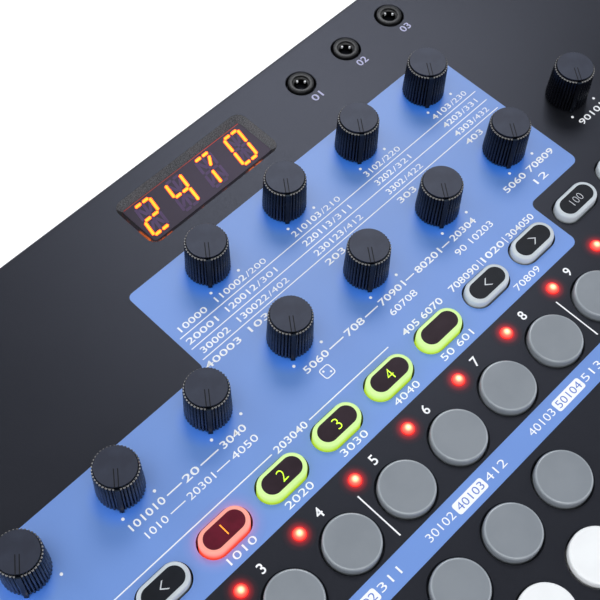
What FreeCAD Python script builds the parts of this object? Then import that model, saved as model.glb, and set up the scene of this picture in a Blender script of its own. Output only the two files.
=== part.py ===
"""A desktop FM synthesizer: a flat two-shell case with a panel of knobs, pill buttons, step buttons
and a row of round keys, a four-character display, top-facing jacks, a speaker and a battery bay.

Millimetres. +X is the player's right, +Y the rear edge, +Z up. The origin is on the table under the
middle of the case. Every sub-part is written to parts/NAME.step.
"""
import FreeCAD, Part
import math
import os

Vector = FreeCAD.Vector

# Case, overall
case_width = 297.0
case_depth = 176.0
panel_height = 37.0          # table to the panel's top face
split_height = 17.0          # table to the seam between the two shells
corner_radius = 8.0
top_edge_chamfer = 0.8
bottom_edge_chamfer = 1.6
panel_thickness = 2.5
wall_thickness = 2.2
floor_thickness = 2.2
foot_height = 2.0
foot_radius = 5.0
foot_inset = 16.0            # foot centre from the two nearest case sides
seam_groove = 0.5            # shadow line between the shells
seam_lip = 1.0               # inner rim that carries the upper shell

# Circuit board
board_thickness = 1.6
board_gap = 0.9              # roof of the battery bay to the board
board_side_gap = 8.0         # inner wall to board, left and right
board_rear_gap = 1.8
board_front_gap = 11.0
board_corner = 3.0
board_corner_flats = 2
chip_thickness = 1.4
chip_places = ((-95.0, 20.0, 14.0), (-95.0, -15.0, 9.0), (88.0, 34.0, 10.0), (0.0, -40.0, 12.0))

# Grid of the controls. Rows are given from the rear edge of the case.
step_pitch = 17.0
step_count = 16
knob_pitch = 25.5
front_knob_count = 11
rear_knob_count = 4
rear_knob_first = -2         # the rear row starts two knob pitches left of the middle
jack_row = 10.4
display_row = 13.35
rear_knob_row = 34.3
front_knob_row = 61.3
pill_row = 84.1
step_row = 104.6
black_key_row = 126.9
key_row_gap = 1.9            # between the flanges of the two key rows

# Round buttons and keys. What repeats many times is drawn with flats in place of arcs.
cap_radius = 6.4
cap_flats = 8
cap_rise = 1.7
cap_rim = 0.55               # 45 degree break at the cap's rim
cap_gap = 0.4                # cap to its hole, all round
flange_margin = 0.6          # how far the flange under the panel reaches past the cap
flange_thickness = 1.0
stop_gap = 0.3               # flange to the underside of the panel
press_travel = 1.0
switch_gap = 0.2             # left between a pressed cap and its switch
switch_size = 6.0
sharps = (1, 2, 4, 5, 6, 8, 9, 11, 12, 13, 15)   # white keys with a black key to their right
keys_in_left_strip = 8

# Pill buttons, moulded in strips
pill_length = 13.0
pill_width = 6.9
pill_rise = 1.9
pill_rim = 0.5
pill_corner_flats = 2        # flats in each quarter turn of a pill's ends
pills_per_strip = 4
strip_gap = 2.4              # between the flanges of two strips

# Knobs and potentiometers
knob_base_radius = 5.4
knob_top_radius = 5.04
knob_height = 11.2
knob_gap = 0.2               # knob to panel
knob_ribs = 12
knob_rib_depth = 0.38        # at the knob's foot
knob_min_angle = 38.0        # from the player's side, clockwise, to the pointer at its lowest setting
pointer_width = 0.9
pointer_proud = 0.55         # past the ribs at the knob's foot
pointer_crown = 0.15         # past the ribs at the knob's top
pot_width = 9.6
pot_depth = 11.0
pot_height = 7.0
shaft_radius = 3.0
shaft_across = 4.0           # over the shaft's two flats
shaft_gap = 0.3              # shaft end to the potentiometer's body
shaft_hole_radius = 4.0
shaft_hole_flats = 6

# Step lights
led_radius = 1.5
led_gap = 0.1
led_rise = 0.9
led_rim = 0.6
led_offset = -6.2            # from the step button's centre
led_clearance = 0.7          # light's stem to the step button's flange
led_flats = 6

# Display
display_x = -34.6
window_length = 39.4
window_width = 12.2
window_radius = 1.0
window_corner_flats = 2
bevel_depth = 1.7
bevel_run = 1.6
bevel_radius = 2.2
module_length = 40.2
module_width = 12.8
module_gap = 0.1
filter_gap = 0.1

# Jacks and power
jack_count = 6
jack_first_x = 4.75
jack_pitch = 17.0
jack_body = 9.0
jack_body_gap = 0.3          # jack body to the underside of the panel
jack_barrel_radius = 3.4
jack_hole_radius = 3.9
jack_flats = 12
jack_bore_radius = 1.8
jack_rise = 0.4              # barrel's rim above the panel face
jack_floor = 0.6
inlet_x = 111.0
inlet_body = 11.0
inlet_barrel_radius = 4.6
inlet_bore_radius = 2.85
inlet_pin_radius = 1.0
inlet_depth = 9.5
inlet_hole_radius = 5.1
switch_x = 130.0
slider_length = 4.0
slider_width = 2.8
slider_travel = 4.0
slider_rise = 1.6
slider_foot = 1.6            # foot's height, and how much wider than the nub it is
slider_drop = 2.6            # top of the foot below the panel's underside
slider_gap = 0.3
switch_body_length = 13.0
switch_body_width = 6.4

# Speaker
speaker_x = 101.5
speaker_row = 34.5
speaker_radius = 14.0
speaker_rim = 1.2
speaker_depth = 8.0
magnet_radius = 7.5
speaker_flats = 10
grille_slots = 7
grille_pitch = 3.4
grille_slot_width = 1.6
grille_radius = 12.0

# Battery bay, under a sliding door that leaves through the rear wall
bay_length = 92.0
bay_width = 56.0
bay_row = 38.0
bay_height = 15.0            # inside, above the door
bay_wall = 1.5
door_overlap = 4.0           # door past the bay, at the sides and the front
door_thickness = 2.0
door_tongue = 2.0
door_gap = 0.2
door_tongue_thickness = 0.8
surround_thickness = 1.8
door_grooves = 3
door_grip_inset = 8.0
door_groove_length = 24.0
door_groove_width = 1.2
door_groove_depth = 0.6
cell_pitch = 15.2
cell_count = 6
contact_width = 9.0
contact_height = 9.0
contact_thickness = 0.4

# Screws: each one goes up through a post, the board and a boss under the panel
screw_radius = 1.5
screw_gap = 0.15
screw_head_radius = 2.7
screw_head_height = 2.0
screw_grip = 6.0             # screw inside the boss
screw_flats = 6
head_gap = 0.25
post_radius = 3.4
rear_screw_x = 61.0

half_width = case_width / 2
half_depth = case_depth / 2
panel_under = panel_height - panel_thickness
floor_top = foot_height + floor_thickness
bay_top = foot_height + door_thickness + bay_height
board_under = bay_top + bay_wall + board_gap
board_top = board_under + board_thickness
led_row = step_row - cap_radius - flange_margin - led_clearance - led_radius
white_key_row = black_key_row + 2 * (cap_radius + flange_margin) + key_row_gap
slider_low = panel_under - slider_drop - slider_foot
flange_top = panel_under - stop_gap
flange_bottom = flange_top - flange_thickness
switch_top = flange_bottom - press_travel - switch_gap
inner_half_width = half_width - wall_thickness
inner_half_depth = half_depth - wall_thickness
board_left = -(inner_half_width - board_side_gap)
board_right = -board_left
board_front = -(inner_half_depth - board_front_gap)
board_rear = inner_half_depth - board_rear_gap


def row_y(offset):
    """Y of a row that lies this far from the rear edge."""
    return half_depth - offset


def column_x(number):
    """X of step column 1 to 16."""
    return (number - (step_count + 1) / 2) * step_pitch


def box(x0, x1, y0, y1, z0, z1):
    return Part.makeBox(x1 - x0, y1 - y0, z1 - z0, Vector(x0, y0, z0))


def centred_box(x, y, length, width, z0, z1):
    return box(x - length / 2, x + length / 2, y - width / 2, y + width / 2, z0, z1)


def cylinder(x, y, radius, z0, z1):
    return Part.makeCylinder(radius, z1 - z0, Vector(x, y, z0))


def polygon_wire(x, y, radii, z, turn=0.0):
    """Closed polygon with one corner per radius, evenly spaced, the first at the angle given."""
    count = len(radii)
    corners = []
    for index, radius in enumerate(radii):
        angle = turn + 2 * math.pi * index / count
        corners.append(Vector(x + radius * math.cos(angle), y + radius * math.sin(angle), z))
    return Part.makePolygon(corners + corners[:1])


def flat_round_wire(x, y, radius, flats, z):
    """A circle drawn with flats."""
    return polygon_wire(x, y, [radius] * flats, z, math.pi / flats)


def flat_corner_wire(x, y, length, width, radius, flats, z):
    """Rectangle whose corners turn in a few flats; with the radius at half the width it is a pill."""
    a = length / 2 - radius
    b = width / 2 - radius
    points = []
    for quarter, (cx, cy) in enumerate(((a, b), (-a, b), (-a, -b), (a, -b))):
        for index in range(flats + 1):
            angle = math.pi / 2 * (quarter + index / flats)
            point = Vector(x + cx + radius * math.cos(angle), y + cy + radius * math.sin(angle), z)
            if not points or point.distanceToPoint(points[-1]) > 1e-6:
                points.append(point)
    return Part.makePolygon(points + points[:1])


def rounded_wire(x, y, length, width, radius, z):
    """Rectangle with round corners."""
    a = length / 2 - radius
    b = width / 2 - radius
    edges = []
    corners = ((a, b, 0), (-a, b, 90), (-a, -b, 180), (a, -b, 270))
    for index, (cx, cy, start) in enumerate(corners):
        centre = Vector(x + cx, y + cy, z)
        edges.append(Part.makeCircle(radius, centre, Vector(0, 0, 1), start, start + 90))
        nx, ny, _ = corners[(index + 1) % 4]
        turn = math.radians(start + 90)
        arm = Vector(radius * math.cos(turn), radius * math.sin(turn), 0)
        here = centre + arm
        there = Vector(x + nx, y + ny, z) + arm
        if here.distanceToPoint(there) > 1e-6:
            edges.append(Part.makeLine(here, there))
    return Part.Wire(Part.__sortEdges__(edges))


def plate(outer, holes, height):
    """Extrudes an outline with holes upwards."""
    face = Part.makeFace(Part.makeCompound([outer] + holes), "Part::FaceMakerBullseye")
    return face.extrude(Vector(0, 0, height))


def prism(wire, height):
    return Part.Face(wire).extrude(Vector(0, 0, height))


def taper(low, high):
    """Flat-sided solid between two outlines that have as many corners and parallel sides."""
    a = [vertex.Point for vertex in low.OrderedVertexes]
    b = [vertex.Point for vertex in high.OrderedVertexes]
    faces = [Part.Face(low), Part.Face(high)]
    for index in range(len(a)):
        on = (index + 1) % len(a)
        side = Part.makePolygon([a[index], a[on], b[on], b[index], a[index]])
        faces.append(Part.Face(side))
    solid = Part.Solid(Part.Shell(faces))
    if solid.Volume < 0:
        solid.reverse()
    return solid


def flat_round(x, y, radius, flats, z0, z1):
    """A cylinder drawn with flats."""
    return prism(flat_round_wire(x, y, radius, flats, z0), z1 - z0)


def joined(shapes):
    return shapes[0].multiFuse(shapes[1:]).removeSplitter()


def write(name, shapes):
    """One file per node; a list of solids stays a group of separate solids."""
    solids = shapes if isinstance(shapes, list) else [shapes]
    shape = solids[0] if len(solids) == 1 else Part.makeCompound(solids)
    if len(shape.Solids) != len(solids) or not shape.isValid():
        print("CHECK", name, len(shape.Solids), "solids for", len(solids), shape.isValid())
    shape.exportStep("parts/" + name + ".step")


# Places of what repeats

def front_knob_places():
    middle = (front_knob_count - 1) / 2
    return [((i - middle) * knob_pitch, row_y(front_knob_row)) for i in range(front_knob_count)]


def rear_knob_places():
    return [((i + rear_knob_first) * knob_pitch, row_y(rear_knob_row)) for i in range(rear_knob_count)]


def column_places(row):
    return [(column_x(number), row_y(row)) for number in range(1, step_count + 1)]


def led_places():
    return [(x + led_offset, y) for x, y in column_places(led_row)]


def black_key_places():
    return [(column_x(number) + step_pitch / 2, row_y(black_key_row)) for number in sharps]


def round_cap_places():
    return column_places(step_row) + column_places(white_key_row) + black_key_places()


def jack_places():
    return [(jack_first_x + i * jack_pitch, row_y(jack_row)) for i in range(jack_count)]


def foot_places():
    x = half_width - foot_inset
    y = half_depth - foot_inset
    return [(-x, -y), (x, -y), (-x, y), (x, y)]


def screw_places():
    """Two screws behind the pill buttons, three before the keys and one behind the knobs."""
    x = front_knob_places()[-1][0] - knob_pitch / 2
    behind_pills = (row_y(front_knob_row) + row_y(pill_row)) / 2
    before_keys = row_y(white_key_row) - cap_radius - 2 * post_radius
    behind_knobs = row_y(rear_knob_row) + 2 * post_radius
    return [(-x, behind_pills), (x, behind_pills), (-x, before_keys), (0.0, before_keys),
            (x, before_keys), (rear_screw_x, behind_knobs)]


def bay_edges():
    """Left, right, front and rear of the battery bay's inside."""
    y = row_y(bay_row)
    return -bay_length / 2, bay_length / 2, y - bay_width / 2, y + bay_width / 2


# The case

def panel_openings(z):
    """Outlines of everything that comes through the panel."""
    outlines = [flat_round_wire(x, y, cap_radius + cap_gap, cap_flats, z) for x, y in round_cap_places()]
    length = pill_length + 2 * cap_gap
    width = pill_width + 2 * cap_gap
    for x, y in column_places(pill_row):
        outlines.append(flat_corner_wire(x, y, length, width, width / 2, pill_corner_flats, z))
    for x, y in led_places():
        outlines.append(flat_round_wire(x, y, led_radius + led_gap, led_flats, z))
    for x, y in front_knob_places() + rear_knob_places():
        outlines.append(flat_round_wire(x, y, shaft_hole_radius, shaft_hole_flats, z))
    for x, y in jack_places():
        outlines.append(flat_round_wire(x, y, jack_hole_radius, jack_flats, z))
    outlines.append(flat_round_wire(inlet_x, row_y(jack_row), inlet_hole_radius, jack_flats, z))
    length = slider_length + slider_travel + 2 * slider_gap
    width = slider_width + 2 * slider_gap
    outlines.append(flat_corner_wire(switch_x, row_y(jack_row), length, width, slider_gap, 1, z))
    outlines.append(window_wire(0.0, window_radius, z))
    for index in range(grille_slots):
        y = (index - (grille_slots - 1) / 2) * grille_pitch
        length = 2 * math.sqrt(grille_radius ** 2 - y ** 2)
        width = grille_slot_width
        outlines.append(flat_corner_wire(speaker_x, row_y(speaker_row) + y, length, width, width / 2, 1, z))
    return outlines


def window_wire(margin, radius, z):
    """The display's opening, wider by a margin on each side."""
    length = window_length + 2 * margin
    width = window_width + 2 * margin
    return flat_corner_wire(display_x, row_y(display_row), length, width, radius, window_corner_flats, z)


def make_upper_case():
    """Panel and skirt in one moulding, with a sloping recess round the display and a boss per screw."""
    body = prism(rounded_wire(0, 0, case_width, case_depth, corner_radius, split_height),
                 panel_height - split_height)
    rim = [e for e in body.Edges if min(v.Z for v in e.Vertexes) > panel_height - 0.01]
    body = body.makeChamfer(top_edge_chamfer, rim)
    inside = rounded_wire(0, 0, 2 * inner_half_width, 2 * inner_half_depth,
                          corner_radius - wall_thickness, split_height)
    cutters = [prism(inside, panel_under - split_height)]
    cutters += [prism(wire, panel_thickness) for wire in panel_openings(panel_under)]
    cutters.append(taper(window_wire(0.0, window_radius, panel_height - bevel_depth),
                         window_wire(bevel_run, bevel_radius, panel_height)))
    bosses = []
    for x, y in screw_places():
        outer = flat_round_wire(x, y, post_radius, screw_flats, board_top)
        bosses.append(prism(outer, panel_under - board_top))
        cutters.append(flat_round(x, y, screw_radius + screw_gap, screw_flats,
                                  board_top, board_top + screw_grip + 1))
    return body.cut(cutters[:-len(bosses)]).multiFuse(bosses).cut(cutters[-len(bosses):])


def make_lower_case():
    """Tray with a lip for the upper case, a post per screw, and a battery bay open through its floor."""
    body = prism(rounded_wire(0, 0, case_width, case_depth, corner_radius, foot_height),
                 split_height - foot_height)
    rim = [e for e in body.Edges if max(v.Z for v in e.Vertexes) < foot_height + 0.01]
    body = body.makeChamfer(bottom_edge_chamfer, rim)
    inside = rounded_wire(0, 0, 2 * inner_half_width, 2 * inner_half_depth,
                          corner_radius - wall_thickness, floor_top)
    groove_z = split_height - seam_groove
    step = wall_thickness - seam_lip
    lip = rounded_wire(0, 0, case_width - 2 * step, case_depth - 2 * step, corner_radius - step, groove_z)
    outline = rounded_wire(0, 0, case_width, case_depth, corner_radius, groove_z)
    body = body.cut([prism(inside, split_height - floor_top), plate(outline, [lip], seam_groove)])

    left, right, front, rear = bay_edges()
    side = door_overlap + door_tongue + 2 * door_gap + bay_wall
    added = [
        box(left - side, right + side, front - side, inner_half_depth,
            floor_top, floor_top + surround_thickness),
        box(left - bay_wall, right + bay_wall, front - bay_wall, rear + bay_wall,
            floor_top, bay_top + bay_wall),
    ]
    reach = door_overlap + door_gap
    lip_top = foot_height + door_thickness - door_tongue_thickness - door_gap
    open_top = foot_height + door_thickness + door_gap
    cuts = [
        box(left - reach, right + reach, front - reach, half_depth, foot_height, open_top),
        box(left - reach - door_tongue, right + reach + door_tongue, front - reach - door_tongue,
            half_depth, lip_top, open_top),
        box(left, right, front, rear, foot_height, bay_top),
    ]
    for x, y in screw_places():
        added.append(flat_round(x, y, post_radius, screw_flats, floor_top, board_under))
        cuts.append(flat_round(x, y, screw_radius + screw_gap, screw_flats, foot_height, board_under))
        cuts.append(flat_round(x, y, screw_head_radius + head_gap, screw_flats,
                               foot_height, foot_height + screw_head_height + head_gap))
    return body.multiFuse(added).cut(cuts)


def make_battery_door():
    """A plate with a tongue on three sides, and three thumb grooves across its underside."""
    left, right, front, _ = bay_edges()
    reach = door_overlap
    top = foot_height + door_thickness
    body = joined([
        box(left - reach, right + reach, front - reach, half_depth, foot_height, top),
        box(left - reach - door_tongue, right + reach + door_tongue, front - reach - door_tongue,
            half_depth, top - door_tongue_thickness, top),
    ])
    grooves = []
    for index in range(door_grooves):
        y = half_depth - door_grip_inset - 2 * door_groove_width * index
        grooves.append(centred_box(0, y, door_groove_length, door_groove_width,
                                   foot_height, foot_height + door_groove_depth))
    return body.cut(grooves)


def make_battery_contacts():
    """A pair of sprung plates for each cell, at the front and the rear wall of the bay."""
    _, _, front, rear = bay_edges()
    z0 = foot_height + door_thickness + (bay_height - contact_height) / 2
    plates = []
    for index in range(cell_count):
        x = (index - (cell_count - 1) / 2) * cell_pitch
        for y in (front + contact_thickness / 2, rear - contact_thickness / 2):
            plates.append(centred_box(x, y, contact_width, contact_thickness, z0, z0 + contact_height))
    return plates


def make_rubber_feet():
    return [flat_round(x, y, foot_radius, cap_flats, 0, foot_height) for x, y in foot_places()]


def make_case_screws():
    screws = []
    head_top = foot_height + screw_head_height
    for x, y in screw_places():
        head = flat_round(x, y, screw_head_radius, screw_flats, foot_height + head_gap, head_top + head_gap)
        shank = flat_round(x, y, screw_radius, screw_flats, head_top, board_top + screw_grip)
        screws.append(joined([head, shank]))
    return screws


# The electronics

def make_control_board():
    outline = flat_corner_wire(0, (board_front + board_rear) / 2, board_right - board_left,
                               board_rear - board_front, board_corner, board_corner_flats, board_under)
    holes = [flat_round_wire(x, y, screw_radius + screw_gap, screw_flats, board_under)
             for x, y in screw_places()]
    return plate(outline, holes, board_thickness)


def make_board_chips():
    """Processor, codec, memory and power stage, under the board and clear of the battery bay."""
    chips = []
    for x, y, size in chip_places:
        chips.append(centred_box(x, y, size, size, board_under - chip_thickness, board_under))
    return chips


def make_key_switches():
    places = round_cap_places() + column_places(pill_row)
    return [centred_box(x, y, switch_size, switch_size, board_top, switch_top) for x, y in places]


def make_pot_bodies():
    places = rear_knob_places() + front_knob_places()
    return [centred_box(x, y, pot_width, pot_depth, board_top, board_top + pot_height) for x, y in places]


def make_step_leds():
    """Lights on spacers, with a broken edge where they stand out of the panel."""
    lights = []
    top = panel_height + led_rise
    for x, y in led_places():
        stem = flat_round(x, y, led_radius, led_flats, board_top, top - led_rim)
        dome = taper(flat_round_wire(x, y, led_radius, led_flats, top - led_rim),
                     flat_round_wire(x, y, led_radius - led_rim, led_flats, top))
        lights.append(joined([stem, dome]))
    return lights


def make_display_module():
    return centred_box(display_x, row_y(display_row), module_length, module_width,
                       board_top, panel_under - module_gap)


def make_display_window():
    """Dark filter that closes the bottom of the display's recess."""
    low = panel_under - module_gap
    return prism(window_wire(-filter_gap, window_radius, low), panel_height - bevel_depth - low)


def make_socket(x, y, body_size, barrel_radius, bore_radius, bore_depth):
    """A square body on the board with a round barrel that fills its hole in the panel."""
    rim = panel_height + jack_rise
    shoulder = panel_under - jack_body_gap
    body = joined([
        centred_box(x, y, body_size, body_size, board_top, shoulder),
        flat_round(x, y, barrel_radius, jack_flats, shoulder - 1, rim),
    ])
    return body.cut(cylinder(x, y, bore_radius, rim - bore_depth, rim))


def make_audio_jacks():
    depth = panel_height + jack_rise - board_top - jack_floor
    return [make_socket(x, y, jack_body, jack_barrel_radius, jack_bore_radius, depth)
            for x, y in jack_places()]


def make_power_inlet():
    """A round socket with a centre pin that ends just below its rim."""
    x, y = inlet_x, row_y(jack_row)
    socket = make_socket(x, y, inlet_body, inlet_barrel_radius, inlet_bore_radius, inlet_depth)
    rim = panel_height + jack_rise
    pin = flat_round(x, y, inlet_pin_radius, jack_flats, rim - inlet_depth - 1, rim - 1)
    return joined([socket, pin])


def make_power_switch_body():
    return centred_box(switch_x, row_y(jack_row), switch_body_length, switch_body_width,
                       board_top, slider_low - slider_gap)


def make_power_slider():
    """The nub at its off end, with a wider foot that stays under the panel."""
    x = switch_x - slider_travel / 2
    y = row_y(jack_row)
    nub = centred_box(x, y, slider_length, slider_width, slider_low, panel_height + slider_rise)
    foot = centred_box(x, y, slider_length + slider_foot, slider_width + slider_foot,
                       slider_low, slider_low + slider_foot)
    return joined([nub, foot])


def make_speaker():
    """Rim, basket and magnet hung from the panel, hollow in front of the cone."""
    x, y = speaker_x, row_y(speaker_row)
    top = panel_under
    low = top - speaker_depth
    neck = top - speaker_depth / 2
    rim = flat_round(x, y, speaker_radius, speaker_flats, top - speaker_rim, top)
    basket = taper(flat_round_wire(x, y, magnet_radius, speaker_flats, neck),
                   flat_round_wire(x, y, speaker_radius - speaker_rim, speaker_flats, top - speaker_rim))
    magnet = flat_round(x, y, magnet_radius, speaker_flats, low, neck)
    hollow = taper(flat_round_wire(x, y, magnet_radius / 2, speaker_flats, neck + speaker_rim),
                   flat_round_wire(x, y, speaker_radius - speaker_rim, speaker_flats, top))
    return joined([rim, basket, magnet]).cut(hollow)


# The controls

def round_cap(x, y):
    """A round cap with a broken rim, from the flange up through the panel."""
    top = panel_height + cap_rise
    stem = flat_round(x, y, cap_radius, cap_flats, flange_bottom, top - cap_rim)
    crown = taper(flat_round_wire(x, y, cap_radius, cap_flats, top - cap_rim),
                  flat_round_wire(x, y, cap_radius - cap_rim, cap_flats, top))
    return [stem, crown]


def pill_wire(x, y, inset, z):
    width = pill_width - 2 * inset
    return flat_corner_wire(x, y, pill_length - 2 * inset, width, width / 2, pill_corner_flats, z)


def pill_cap(x, y):
    """A pill-shaped cap with a broken rim."""
    top = panel_height + pill_rise
    stem = prism(pill_wire(x, y, 0, flange_bottom), top - pill_rim - flange_bottom)
    return [stem, taper(pill_wire(x, y, 0, top - pill_rim), pill_wire(x, y, pill_rim, top))]


def make_strip(places, cap, half_x, half_y):
    """Caps on one flange, moulded in one piece."""
    xs = [x for x, _ in places]
    y = places[0][1]
    shapes = [box(min(xs) - half_x, max(xs) + half_x, y - half_y, y + half_y, flange_bottom, flange_top)]
    for x, _ in places:
        shapes += cap(x, y)
    return joined(shapes)


def make_round_strip(places):
    half = cap_radius + flange_margin
    return make_strip(places, round_cap, half, half)


def make_pill_strip(places):
    return make_strip(places, pill_cap, (step_pitch - strip_gap) / 2, pill_width / 2 + flange_margin)


def knob_outline(radius, z):
    valley = radius * (1 - knob_rib_depth / knob_base_radius)
    return polygon_wire(0, 0, [radius, valley] * knob_ribs, z)


def flatted_shaft(z0, z1):
    """A round shaft with two flats."""
    reach = shaft_radius + 1
    half = shaft_across / 2
    return cylinder(0, 0, shaft_radius, z0, z1).common(box(-reach, reach, -half, half, z0, z1))


def make_knob():
    """A ribbed, tapered knob with its shaft, about the Z axis, pointing at its lowest setting."""
    bottom = panel_height + knob_gap
    top = bottom + knob_height
    ribbed = taper(knob_outline(knob_base_radius, bottom), knob_outline(knob_top_radius, top))
    shaft = flatted_shaft(board_top + pot_height + shaft_gap, bottom + 1)
    half = pointer_width / 2
    inside = knob_top_radius / 2
    side = [(inside, bottom), (knob_base_radius + pointer_proud, bottom),
            (knob_top_radius + pointer_crown, top), (inside, top)]
    corners = [Vector(x, -half, z) for x, z in side]
    pointer = Part.Face(Part.makePolygon(corners + corners[:1])).extrude(Vector(0, pointer_width, 0))
    body = joined([ribbed, shaft, pointer])
    body.rotate(Vector(0, 0, 0), Vector(0, 0, 1), 270.0 - knob_min_angle)
    return body


def write_knobs():
    knob = make_knob()
    for name, places in (("rear_knob_", rear_knob_places()), ("front_knob_", front_knob_places())):
        for index, (x, y) in enumerate(places):
            placed = knob.copy()
            placed.translate(Vector(x, y, 0))
            write("%s%02d" % (name, index + 1), placed)


def write_buttons():
    for index, place in enumerate(column_places(step_row)):
        write("step_button_%02d" % (index + 1), make_round_strip([place]))
    pills = column_places(pill_row)
    for index in range(0, step_count, pills_per_strip):
        name = "pill_strip_%d" % (index // pills_per_strip + 1)
        write(name, make_pill_strip(pills[index:index + pills_per_strip]))
    white = column_places(white_key_row)
    write("white_keys_left", make_round_strip(white[:keys_in_left_strip]))
    write("white_keys_right", make_round_strip(white[keys_in_left_strip:]))
    black = black_key_places()
    split = len([number for number in sharps if number < keys_in_left_strip])
    write("black_keys_left", make_round_strip(black[:split]))
    write("black_keys_right", make_round_strip(black[split:]))


def main():
    os.makedirs("parts", exist_ok=True)
    write("upper_case", make_upper_case())
    write("lower_case", make_lower_case())
    write("battery_door", make_battery_door())
    write("battery_contacts", make_battery_contacts())
    write("rubber_feet", make_rubber_feet())
    write("case_screws", make_case_screws())
    write("control_board", make_control_board())
    write("board_chips", make_board_chips())
    write("key_switches", make_key_switches())
    write("pot_bodies", make_pot_bodies())
    write("step_leds", make_step_leds())
    write("display_module", make_display_module())
    write("display_window", make_display_window())
    write("audio_jacks", make_audio_jacks())
    write("power_inlet", make_power_inlet())
    write("power_switch_body", make_power_switch_body())
    write("power_slider", make_power_slider())
    write("speaker", make_speaker())
    write_knobs()
    write_buttons()


main()
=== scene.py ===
"""Looks for the FM synthesizer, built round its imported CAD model. Lengths are written in millimetres and
turned to metres as they go into a mesh."""
import bpy
import bmesh
import math
from mathutils import Matrix, Vector


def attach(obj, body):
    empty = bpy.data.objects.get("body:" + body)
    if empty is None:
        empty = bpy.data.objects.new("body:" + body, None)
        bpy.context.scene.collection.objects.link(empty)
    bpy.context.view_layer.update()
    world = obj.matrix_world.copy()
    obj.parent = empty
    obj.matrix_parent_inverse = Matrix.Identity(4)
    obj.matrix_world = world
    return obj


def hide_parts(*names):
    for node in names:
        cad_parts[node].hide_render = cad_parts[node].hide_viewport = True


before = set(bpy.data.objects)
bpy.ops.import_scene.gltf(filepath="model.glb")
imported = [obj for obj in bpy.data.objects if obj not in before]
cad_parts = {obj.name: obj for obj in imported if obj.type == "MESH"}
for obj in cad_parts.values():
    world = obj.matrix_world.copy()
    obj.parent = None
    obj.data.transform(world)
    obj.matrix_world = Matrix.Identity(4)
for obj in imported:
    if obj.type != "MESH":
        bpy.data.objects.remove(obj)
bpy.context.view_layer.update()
mm = 0.001
SCENE = bpy.context.scene

# Sizes of the case and its rows, as in the CAD model
half_width = 148.5
half_depth = 88.0
panel_top = 37.0
panel_under = 34.5
split_z = 17.0
corner_radius = 8.0
wall = 2.2
step_pitch = 17.0
knob_pitch = 25.5
jack_y = half_depth - 10.4
display_x = -34.6
display_y = half_depth - 13.35
rear_knob_y = half_depth - 34.3
front_knob_y = half_depth - 61.3
pill_y = half_depth - 84.1
led_y = half_depth - 95.4
step_y = half_depth - 104.6
black_key_y = half_depth - 126.9
white_key_y = half_depth - 142.8
flange_low = 33.2
flange_high = 34.2
cap_radius = 6.4
cap_rise = 1.7
cap_gap = 0.4
pill_size = (12.7, 6.7)
pill_gap = 0.35
pill_rise = 1.9
inset_size = (10.5, 4.7)
led_offset = -6.2
led_radius = 1.5
jack_xs = [4.75 + 17.0 * i for i in range(6)]
inlet_x = 111.0
switch_x = 130.0
speaker_x = 101.5
speaker_y = half_depth - 34.5
sharps = (1, 2, 4, 5, 6, 8, 9, 11, 12, 13, 15)
columns = [(n - 8.5) * step_pitch for n in range(1, 17)]
front_knobs = [((i - 5) * knob_pitch, front_knob_y) for i in range(11)]
rear_knobs = [((i - 2) * knob_pitch, rear_knob_y) for i in range(4)]
step_caps = [(x, step_y) for x in columns]
white_caps = [(x, white_key_y) for x in columns]
black_caps = [(columns[n - 1] + step_pitch / 2, black_key_y) for n in sharps]

# Openings in the panel
knob_hole = 4.0
jack_hole = 3.9
inlet_hole = 5.1
switch_slot = (8.6, 3.4)
grille_radius = 12.0
grille_pitch = 3.4
grille_slot = 1.6
display_opening = (39.4, 12.2)

# Sizes that only the looks have
ink = 0.02
led_halo_radius = 3.8
pill_halo_reach = 3.5
print_gap = 0.45


# Outlines: lists of points in millimetres

def circle(x, y, radius, z, count=48, turn=0.0):
    step = 2 * math.pi / count
    return [(x + radius * math.cos(turn + i * step), y + radius * math.sin(turn + i * step), z)
            for i in range(count)]


def rounded(x, y, length, width, radius, z, steps=8):
    """Rectangle with round corners; a pill where the radius is half the width."""
    a, b = length / 2 - radius, width / 2 - radius
    points = []
    for quarter, (cx, cy) in enumerate(((a, b), (-a, b), (-a, -b), (a, -b))):
        for i in range(steps + 1):
            angle = math.pi / 2 * (quarter + i / steps)
            point = (x + cx + radius * math.cos(angle), y + cy + radius * math.sin(angle), z)
            if not points or math.dist(point, points[-1]) > 1e-5:
                points.append(point)
    if math.dist(points[0], points[-1]) < 1e-5:
        points.pop()
    return points


def pill(x, y, length, width, z=0):
    return rounded(x, y, length, width, width / 2, z, 10)


def bent(corners, steps=6):
    """Closed outline through (x, y, radius) corners, each rounded unless its radius is 0."""
    points = []
    count = len(corners)
    for i, (x, y, radius) in enumerate(corners):
        if radius <= 0:
            points.append((x, y, 0))
            continue
        here = Vector((x, y))
        back = (Vector(corners[i - 1][:2]) - here).normalized()
        on = (Vector(corners[(i + 1) % count][:2]) - here).normalized()
        half = back.angle(on) / 2
        reach = radius / math.tan(half)
        centre = here + (back + on).normalized() * (radius / math.sin(half))
        start = here + back * reach - centre
        end = here + on * reach - centre
        turn = start.angle_signed(end)
        for k in range(steps + 1):
            arm = start.copy()
            arm.rotate(Matrix.Rotation(-turn * k / steps, 2))
            points.append((centre.x + arm.x, centre.y + arm.y, 0))
    return points


# Meshes

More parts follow.
